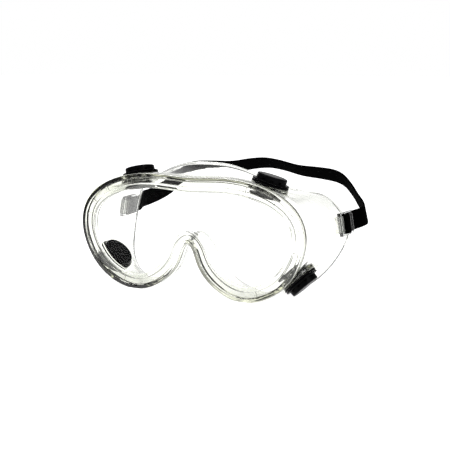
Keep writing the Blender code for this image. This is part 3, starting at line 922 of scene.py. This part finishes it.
def open_curve(points):
    """A smooth open curve through points."""
    points = np.array(points, float)
    ends = np.vstack([2 * points[0] - points[1], points, 2 * points[-1] - points[-2]])
    places = []
    for p0, p1, p2, p3 in zip(ends, ends[1:], ends[2:], ends[3:]):
        for t in np.linspace(0, 1, PER_SPAN, endpoint=False):
            straight = 2 * p1 + (p2 - p0) * t
            curved = (2 * p0 - 5 * p1 + 4 * p2 - p3) * t**2 + (3 * p1 - p0 - 3 * p2 + p3) * t**3
            places.append((straight + curved) / 2)
    return np.array([*places, points[-1]])


def strap_line(side):
    """Middle line of one half from its tail to the back, its running length and its width direction."""
    place = buckle_place(side)
    bends = [(along, out, STRAP_BEND) for along, out in THREADED]
    bends[0], bends[-1] = (*THREADED[0], 0), (*THREADED[-1], 0)
    threaded = [place @ Vector((out * side * MM, along * MM, 0)) for along, out in rounded(bends, 8)]
    route = [seat((x * side, y, z)) for x, y, z in STRAP_ROUTE]
    beyond = seat((-STRAP_ROUTE[-2][0] * side, *STRAP_ROUTE[-2][1:]))
    start = [place @ Vector((THREADED[-1][1] * side * MM, along * MM, 0)) for along in LEAVING]
    band = open_curve([*start, *route, beyond])[PER_SPAN : PAST_MIDDLE - PER_SPAN]
    line = np.vstack([np.array(threaded), band])
    run = np.concatenate([[0], np.cumsum(np.linalg.norm(np.diff(line, axis=0), axis=1))])
    up = np.array(place.to_3x3().col[2])
    leaning = np.array([0, -math.sin(STRAP_LEAN), math.cos(STRAP_LEAN)])
    bound = run[len(threaded)]
    share = np.clip((run[-1] - run) / (run[-1] - bound), 0, 1)[:, None] ** 2
    return line, run, up * share + leaning * (1 - share)


def even(line, run, width, step):
    """The same line with a place at every step."""
    where = np.linspace(0, run[-1], int(run[-1] / step) + 1)
    points = np.stack([np.interp(where, run, line[:, i]) for i in range(3)], axis=1)
    wide = np.stack([np.interp(where, run, width[:, i]) for i in range(3)], axis=1)
    along = unit(np.gradient(points, axis=0))
    wide = unit(wide - along * np.sum(wide * along, axis=1)[:, None])
    return points, wide, run[-1]


# %% The strap's halves
STRAP_COLUMNS = 12
STRAP_STEP = 0.7
STRAP_EDGE = 0.35


def strap_half(hand, side):
    """One half, from its tail in the buckle to just past the middle of the back."""
    points, wide, length = even(*strap_line(side), STRAP_STEP * MM)
    length -= abs(points[-1][0])
    drop_selection()
    rows = len(points) - 1
    bpy.ops.mesh.primitive_grid_add(
        x_subdivisions=rows, y_subdivisions=STRAP_COLUMNS, size=1, calc_uvs=True
    )
    half = named(f"{hand}_strap")
    for vertex in half.data.vertices:
        row = round((vertex.co.x + 0.5) * rows)
        vertex.co = points[row] + wide[row] * vertex.co.y * STRAP_WIDTH * MM
    apply_modifier(half, "SOLIDIFY", thickness=STRAP_THICKNESS * MM, offset=0.0)
    face_out(half)
    soften(half, STRAP_EDGE * MM, 2, 60)
    across = sorted((0.0, -10.0 * side))
    past_middle = box((across[0], -100, 0), (across[1], 100, 120))
    combine(half, past_middle, "DIFFERENCE")
    shade(half, 50)
    half.data.materials.append(knitted_black(length))
    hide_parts(f"strap_end_{hand}", *(["strap_band"] if side > 0 else []))
    place = buckle_place(side)
    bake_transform(half)
    print(half.name, round(length * 1000), "mm long,", len(half.data.polygons), "faces")


for hand, side in HANDS.items():
    strap_half(hand, side)

# %% [markdown]
# ## Table and light
#
# The picture is bright: a white table and soft white light, in which clear plastic shows only where its edges
# bend something darker into view. For glassware a studio puts dark cards on both sides, but cards would stand
# in the way of other views. So the table is a white sweep along the camera's line of sight that fades to grey
# on both sides, and the surroundings are darker at the sides and above. The sweep glows a little by itself,
# which keeps it white under the goggles.

# %% Table
SIGHT_LINE = math.radians(27.83)  # turn of the camera's line of sight about the upright
TABLE_RADIUS = 6.0
SWEEP_SPREAD = 0.26  # how much wider the sweep is for each metre of distance
SWEEP_SHIFT = 0.02
SWEEP_FADE = (0.16, 0.32)  # where its white ends and its grey begins, in metres from the middle


def beside(tree, place, spread, shift=0.0):
    """How far a place or a direction lies to the side of the white sweep's middle line."""
    turned = node(tree, "ShaderNodeMapping")
    turned.inputs["Location"].default_value = (shift, 0, 0)
    turned.inputs["Rotation"].default_value = (0, 0, -SIGHT_LINE)
    tree.links.new(place, turned.inputs["Vector"])
    size = tree.nodes.new("ShaderNodeVectorMath")
    size.operation = "ABSOLUTE"
    tree.links.new(turned.outputs["Vector"], size.inputs[0])
    axes = tree.nodes.new("ShaderNodeSeparateXYZ")
    tree.links.new(size.outputs["Vector"], axes.inputs["Vector"])
    aside = tree.nodes.new("ShaderNodeMath")
    aside.operation = "MULTIPLY_ADD"
    aside.inputs[1].default_value = -spread
    tree.links.new(axes.outputs["Y"], aside.inputs[0])
    tree.links.new(axes.outputs["X"], aside.inputs[2])
    return aside.outputs[0]


drop_selection()
bpy.ops.mesh.primitive_circle_add(
    vertices=96, radius=TABLE_RADIUS, fill_type="NGON", location=(0, 0, -0.0002)
)
table = named("table")
white, tree, shader = finish("white_table")
where = tree.nodes.new("ShaderNodeTexCoord")
aside = beside(tree, where.outputs["Object"], SWEEP_SPREAD, SWEEP_SHIFT)
paper = ramp(tree, aside, list(zip(SWEEP_FADE, (grey(0.9), grey(0.32)))))
glow = ramp(tree, aside, list(zip(SWEEP_FADE, (grey(1.0), grey(0.0)))))
tree.links.new(paper, shader.inputs["Base Color"])
tree.links.new(glow, shader.inputs["Emission Color"])
shader.inputs["Roughness"].default_value = 0.9
shader.inputs["Specular IOR Level"].default_value = 0.0
shader.inputs["Emission Strength"].default_value = 0.8
table.data.materials.append(white)

# %% Light
SIDES_SPREAD = 0.3
world = bpy.data.worlds.new("studio")
bpy.context.scene.world = world
world.use_nodes = True
sky = world.node_tree
where = sky.nodes.new("ShaderNodeTexCoord")
split = sky.nodes.new("ShaderNodeSeparateXYZ")
sky.links.new(where.outputs["Generated"], split.inputs["Vector"])
tone = ramp(
    sky,
    split.outputs["Z"],
    [
        (0.0, grey(1.0)),
        (0.16, grey(1.0)),
        (0.30, (0.55, 0.55, 0.56, 1)),
        (0.65, (0.65, 0.65, 0.66, 1)),
        (1.0, (0.95, 0.95, 0.96, 1)),
    ],
)
aside = beside(sky, where.outputs["Generated"], SIDES_SPREAD)
sides = ramp(sky, aside, [(0.05, grey(1.0)), (0.35, grey(0.4))])
sky.links.new(mix(sky, 1.0, tone, sides, "MULTIPLY"), sky.nodes["Background"].inputs["Color"])
sky.nodes["Background"].inputs["Strength"].default_value = 1.0


def softbox(name, place, target, size, watts):
    """A soft rectangular lamp that faces its target."""
    light = bpy.data.lights.new(name, "AREA")
    light.shape = "RECTANGLE"
    light.size, light.size_y = size
    light.energy = watts
    lamp = bpy.data.objects.new(name, light)
    bpy.context.scene.collection.objects.link(lamp)
    lamp.location = place
    lamp.rotation_euler = (Vector(target) - Vector(place)).to_track_quat("-Z", "Y").to_euler()


softbox("key", (-0.5, -0.7, 0.9), (0, 0, 0.04), (0.6, 0.4), 6.0)
softbox("fill", (0.8, -0.3, 0.7), (0, 0, 0.04), (0.5, 0.5), 3.0)
print("studio lit")

# %% [markdown]
# ## Camera
#
# The camera stands where the photograph was taken from: a little to the right of the front and slightly
# above, with a long lens. It could be placed by eye, but the rim's flat outline settles it: only one place
# shows that outline with the two lobes as wide and as high as they are in the picture.

# %% Camera
CAMERA_ELEVATION = math.radians(9.80)
CAMERA_ROLL = math.radians(0.25)
CAMERA_DISTANCE = 0.6286
LOOK_AT = (27.9, 0, 48.4)
look_at = Vector(seat(LOOK_AT))
backwards = Vector(
    (
        math.sin(SIGHT_LINE) * math.cos(CAMERA_ELEVATION),
        -math.cos(SIGHT_LINE) * math.cos(CAMERA_ELEVATION),
        math.sin(CAMERA_ELEVATION),
    )
)
lens_data = bpy.data.cameras.new("camera")
lens_data.lens = 80.0
lens_data.sensor_width = 36.0
lens_data.clip_start = 0.01
camera = bpy.data.objects.new("camera", lens_data)
bpy.context.scene.collection.objects.link(camera)
camera.location = look_at + backwards * CAMERA_DISTANCE
upright = backwards.to_track_quat("Z", "Y").to_matrix()
camera.rotation_euler = (upright @ Matrix.Rotation(CAMERA_ROLL, 3, "Z")).to_euler()
bpy.context.scene.camera = camera
bpy.context.scene.view_settings.view_transform = "Standard"
bpy.context.scene.cycles.max_bounces = 24
bpy.context.scene.cycles.transmission_bounces = 20
bpy.context.scene.cycles.transparent_max_bounces = 16
print("camera at", tuple(round(v, 4) for v in camera.location))
